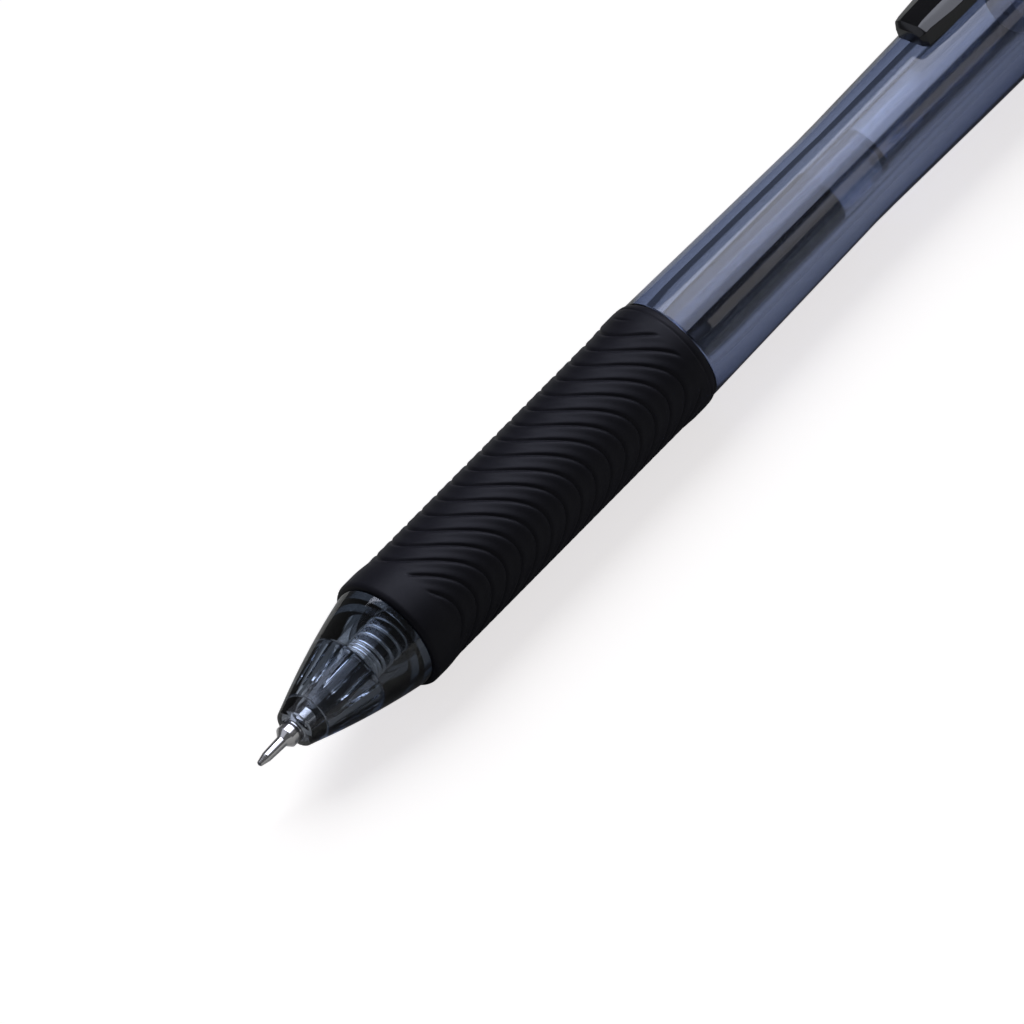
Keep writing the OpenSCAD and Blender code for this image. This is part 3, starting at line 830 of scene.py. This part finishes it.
levels = [np.full(columns, s) for s in front_rows]
levels += [np.clip(v + wave, band_front, band_back) for v in offsets]
levels += [np.full(columns, s) for s in rear_rows]
stations = np.array(levels)
phase = (stations - wave - grip_front) / groove_pitch
from_groove = np.abs(phase - np.round(phase)) * groove_pitch
notch = groove_depth * np.exp(-(from_groove / (groove_half * widen)) ** 2)
pillow = 0.045 * (2 * from_groove / groove_pitch) ** 2 - 0.02
fade = smooth_step(stations, band_front, band_front + 0.5) * (
    1 - smooth_step(stations, band_back - 0.5, band_back))
radii = grip_shape(stations) - (notch + pillow) * fade
inner = [np.full(columns, grip_back), np.full(columns, grip_front)]
stations = np.vstack([stations, inner])
radii = np.vstack([radii, np.full((2, columns), core_r + 0.01)])
grip = skin_rings("grip", stations, radii, angles, True, 55)
grip.data.materials.append(grip_rubber)
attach(grip, "barrel")
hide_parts("grip_sleeve")


# --- Knock mechanism ---------------------------------------------------------
# Small mouldings in hard plastic, the guide nearly black and the others pale. Their
# toothed CAD shapes are kept, and so are those of the plug in the tail of the refill,
# of the fine spring in the point and of the steel check ball behind it.

def cam_finish(name, one, other):
    """Hard plastic with a slight moulded skin, clouded between two close colours."""
    material, nodes, links, shader = new_material(name)
    dress(nodes, links, shader, moulded_skin, 0.004, base_roughness=0.3, spread=0.15)
    cloud_colour(nodes, links, shader, 500, one, other, 2.0)
    return material


cam_plastic = cam_finish("cam_plastic", (0.66, 0.67, 0.70), (0.74, 0.75, 0.78))
guide_plastic = cam_finish("guide_plastic", (0.035, 0.04, 0.06), (0.05, 0.055, 0.08))


def keep_cad(node, material):
    """Gives a CAD node a finish and smooth shading between its sharp edges."""
    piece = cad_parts[node]
    piece.data.materials.clear()
    piece.data.materials.append(material)
    for face in piece.data.polygons:
        face.use_smooth = True
    piece.data.set_sharp_from_angle(angle=math.radians(30))


keep_cad("cam_guide", guide_plastic)
keep_cad("cam_plunger", cam_plastic)
keep_cad("cam_rotor", cam_plastic)
keep_cad("tail_plug", cam_plastic)
keep_cad("tip_spring", spring_steel)
keep_cad("check_ball", ball_metal)


# --- Rear cap, clip and button -----------------------------------------------
# Three mouldings in polished black plastic. The cap is pressed on the barrel and
# holds the bead of the clip; the clip's faceted foot springs on the barrel.

gloss_black, nodes, links, shader = new_material("gloss_black")
dress(nodes, links, shader, clear_skin, 0.004, base_roughness=0.06, spread=0.08)
cloud_colour(nodes, links, shader, 300, (0.004, 0.004, 0.006), (0.008, 0.008, 0.011), 2.0)


def pen_point(station, side, height):
    """A point beside the axis: side is across the pen, height is towards the clip."""
    return (TIP_X + station * MM, -side * MM, AXIS_Z + height * MM)


def loft(name, sections, bevel=0.0):
    """Skins a row of sections with equal counts of (station, side, height) points, capped at both ends."""
    count = len(sections[0])
    points = [pen_point(*p) for section in sections for p in section]
    faces = [tuple(range(count)), tuple(reversed(range(len(points) - count, len(points))))]
    for i in range(len(sections) - 1):
        faces += band(i * count, (i + 1) * count, count)
    mesh = bpy.data.meshes.new(name)
    mesh.from_pydata(points, [], faces)
    shaper = bmesh.new()
    shaper.from_mesh(mesh)
    bmesh.ops.recalc_face_normals(shaper, faces=shaper.faces)
    if bevel:
        sharp = [e for e in shaper.edges if e.calc_face_angle(0) > math.radians(12)]
        bmesh.ops.bevel(shaper, geom=sharp, offset=bevel * MM, segments=3, profile=0.6,
                        affect="EDGES", clamp_overlap=True)
    shaper.to_mesh(mesh)
    shaper.free()
    return link_object(name, finish_mesh(mesh, 40))


clip_front = station_of("clip", 0)
clip_low, clip_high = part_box("clip")
clip_root_half = (clip_high.y - clip_low.y) / 2 / MM


def clip_section(station, half, low, high, chamfer):
    """Cross-section of the clip, flat on top with wide chamfers."""
    return [(station, -half, low), (station, -half, high - chamfer),
            (station, -half + chamfer * 1.9, high), (station, half - chamfer * 1.9, high),
            (station, half, high - chamfer), (station, half, low)]


foot_low = flare_radius(clip_front) + 0.14
bar_low = foot_low + 0.35
root_low = 6.45
clip_root = cap_front - 0.9
clip = loft("clip_bar", [
    clip_section(clip_front + 0.3, 1.5, foot_low + 0.35, bar_low + 1.4, 0.35),
    clip_section(clip_front + 0.85, 1.98, foot_low, bar_low + 1.86, 0.46),
    clip_section(clip_front + 1.5, 2.05, foot_low + 0.03, bar_low + 2.0, 0.50),
    clip_section(clip_front + 2.8, 2.2, foot_low + 0.15, bar_low + 2.05, 0.58),
    clip_section(clip_front + 4.4, 2.38, bar_low, bar_low + 2.08, 0.66),
    clip_section(clip_front + 10, 2.64, bar_low + 0.25, bar_low + 2.1, 0.72),
    clip_section(clip_root, clip_root_half - 0.02, root_low, root_low + 1.48, 0.66)], 0.06)
bead_station = cap_front + 2.9
bead_height = 7.2
bead_r = 1.0
neck_half = 0.58
neck = loft("clip_neck", [
    clip_section(station, clip_root_half - 0.05, bead_height - neck_half, bead_height + neck_half, 0.2)
    for station in (clip_root - 0.3, bead_station)])
bead_mesh = bpy.data.meshes.new("clip_bead")
maker = bmesh.new()
bmesh.ops.create_cone(maker, cap_ends=True, segments=48, radius1=bead_r * MM, radius2=bead_r * MM,
                      depth=2 * (clip_root_half - 0.02) * MM)
bmesh.ops.rotate(maker, verts=maker.verts, matrix=Matrix.Rotation(math.radians(90), 3, "X"))
bmesh.ops.translate(maker, verts=maker.verts, vec=pen_point(bead_station, 0, bead_height))
maker.to_mesh(bead_mesh)
maker.free()
bead = link_object("clip_bead", finish_mesh(bead_mesh))
for piece in (clip, neck, bead):
    piece.data.materials.append(gloss_black)
    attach(piece, "clip_arm")
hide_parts("clip")

keep_cad("rear_cap", gloss_black)
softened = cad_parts["rear_cap"].modifiers.new("soft_edges", "BEVEL")
softened.width = 0.14 * MM
softened.segments = 3
softened.limit_method = "ANGLE"
softened.angle_limit = math.radians(35)

button_front = station_of("push_button", 0)
button_back = station_of("push_button", 1)
button_r = radius_of("push_button")
button = lathe("button", rounded([
    (button_front, button_r - 0.78, 0), (button_front, button_r, 0.05),
    (button_back - 0.1, button_r, 0.8), (button_back, button_r - 0.9, 1.5), (button_back, 0, 0),
    (button_back - 1.2, 0, 0), (button_back - 1.2, button_r - 0.78, 0)], closed=True), closed=True)
button.data.materials.append(gloss_black)
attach(button, "knock")
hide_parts("push_button")
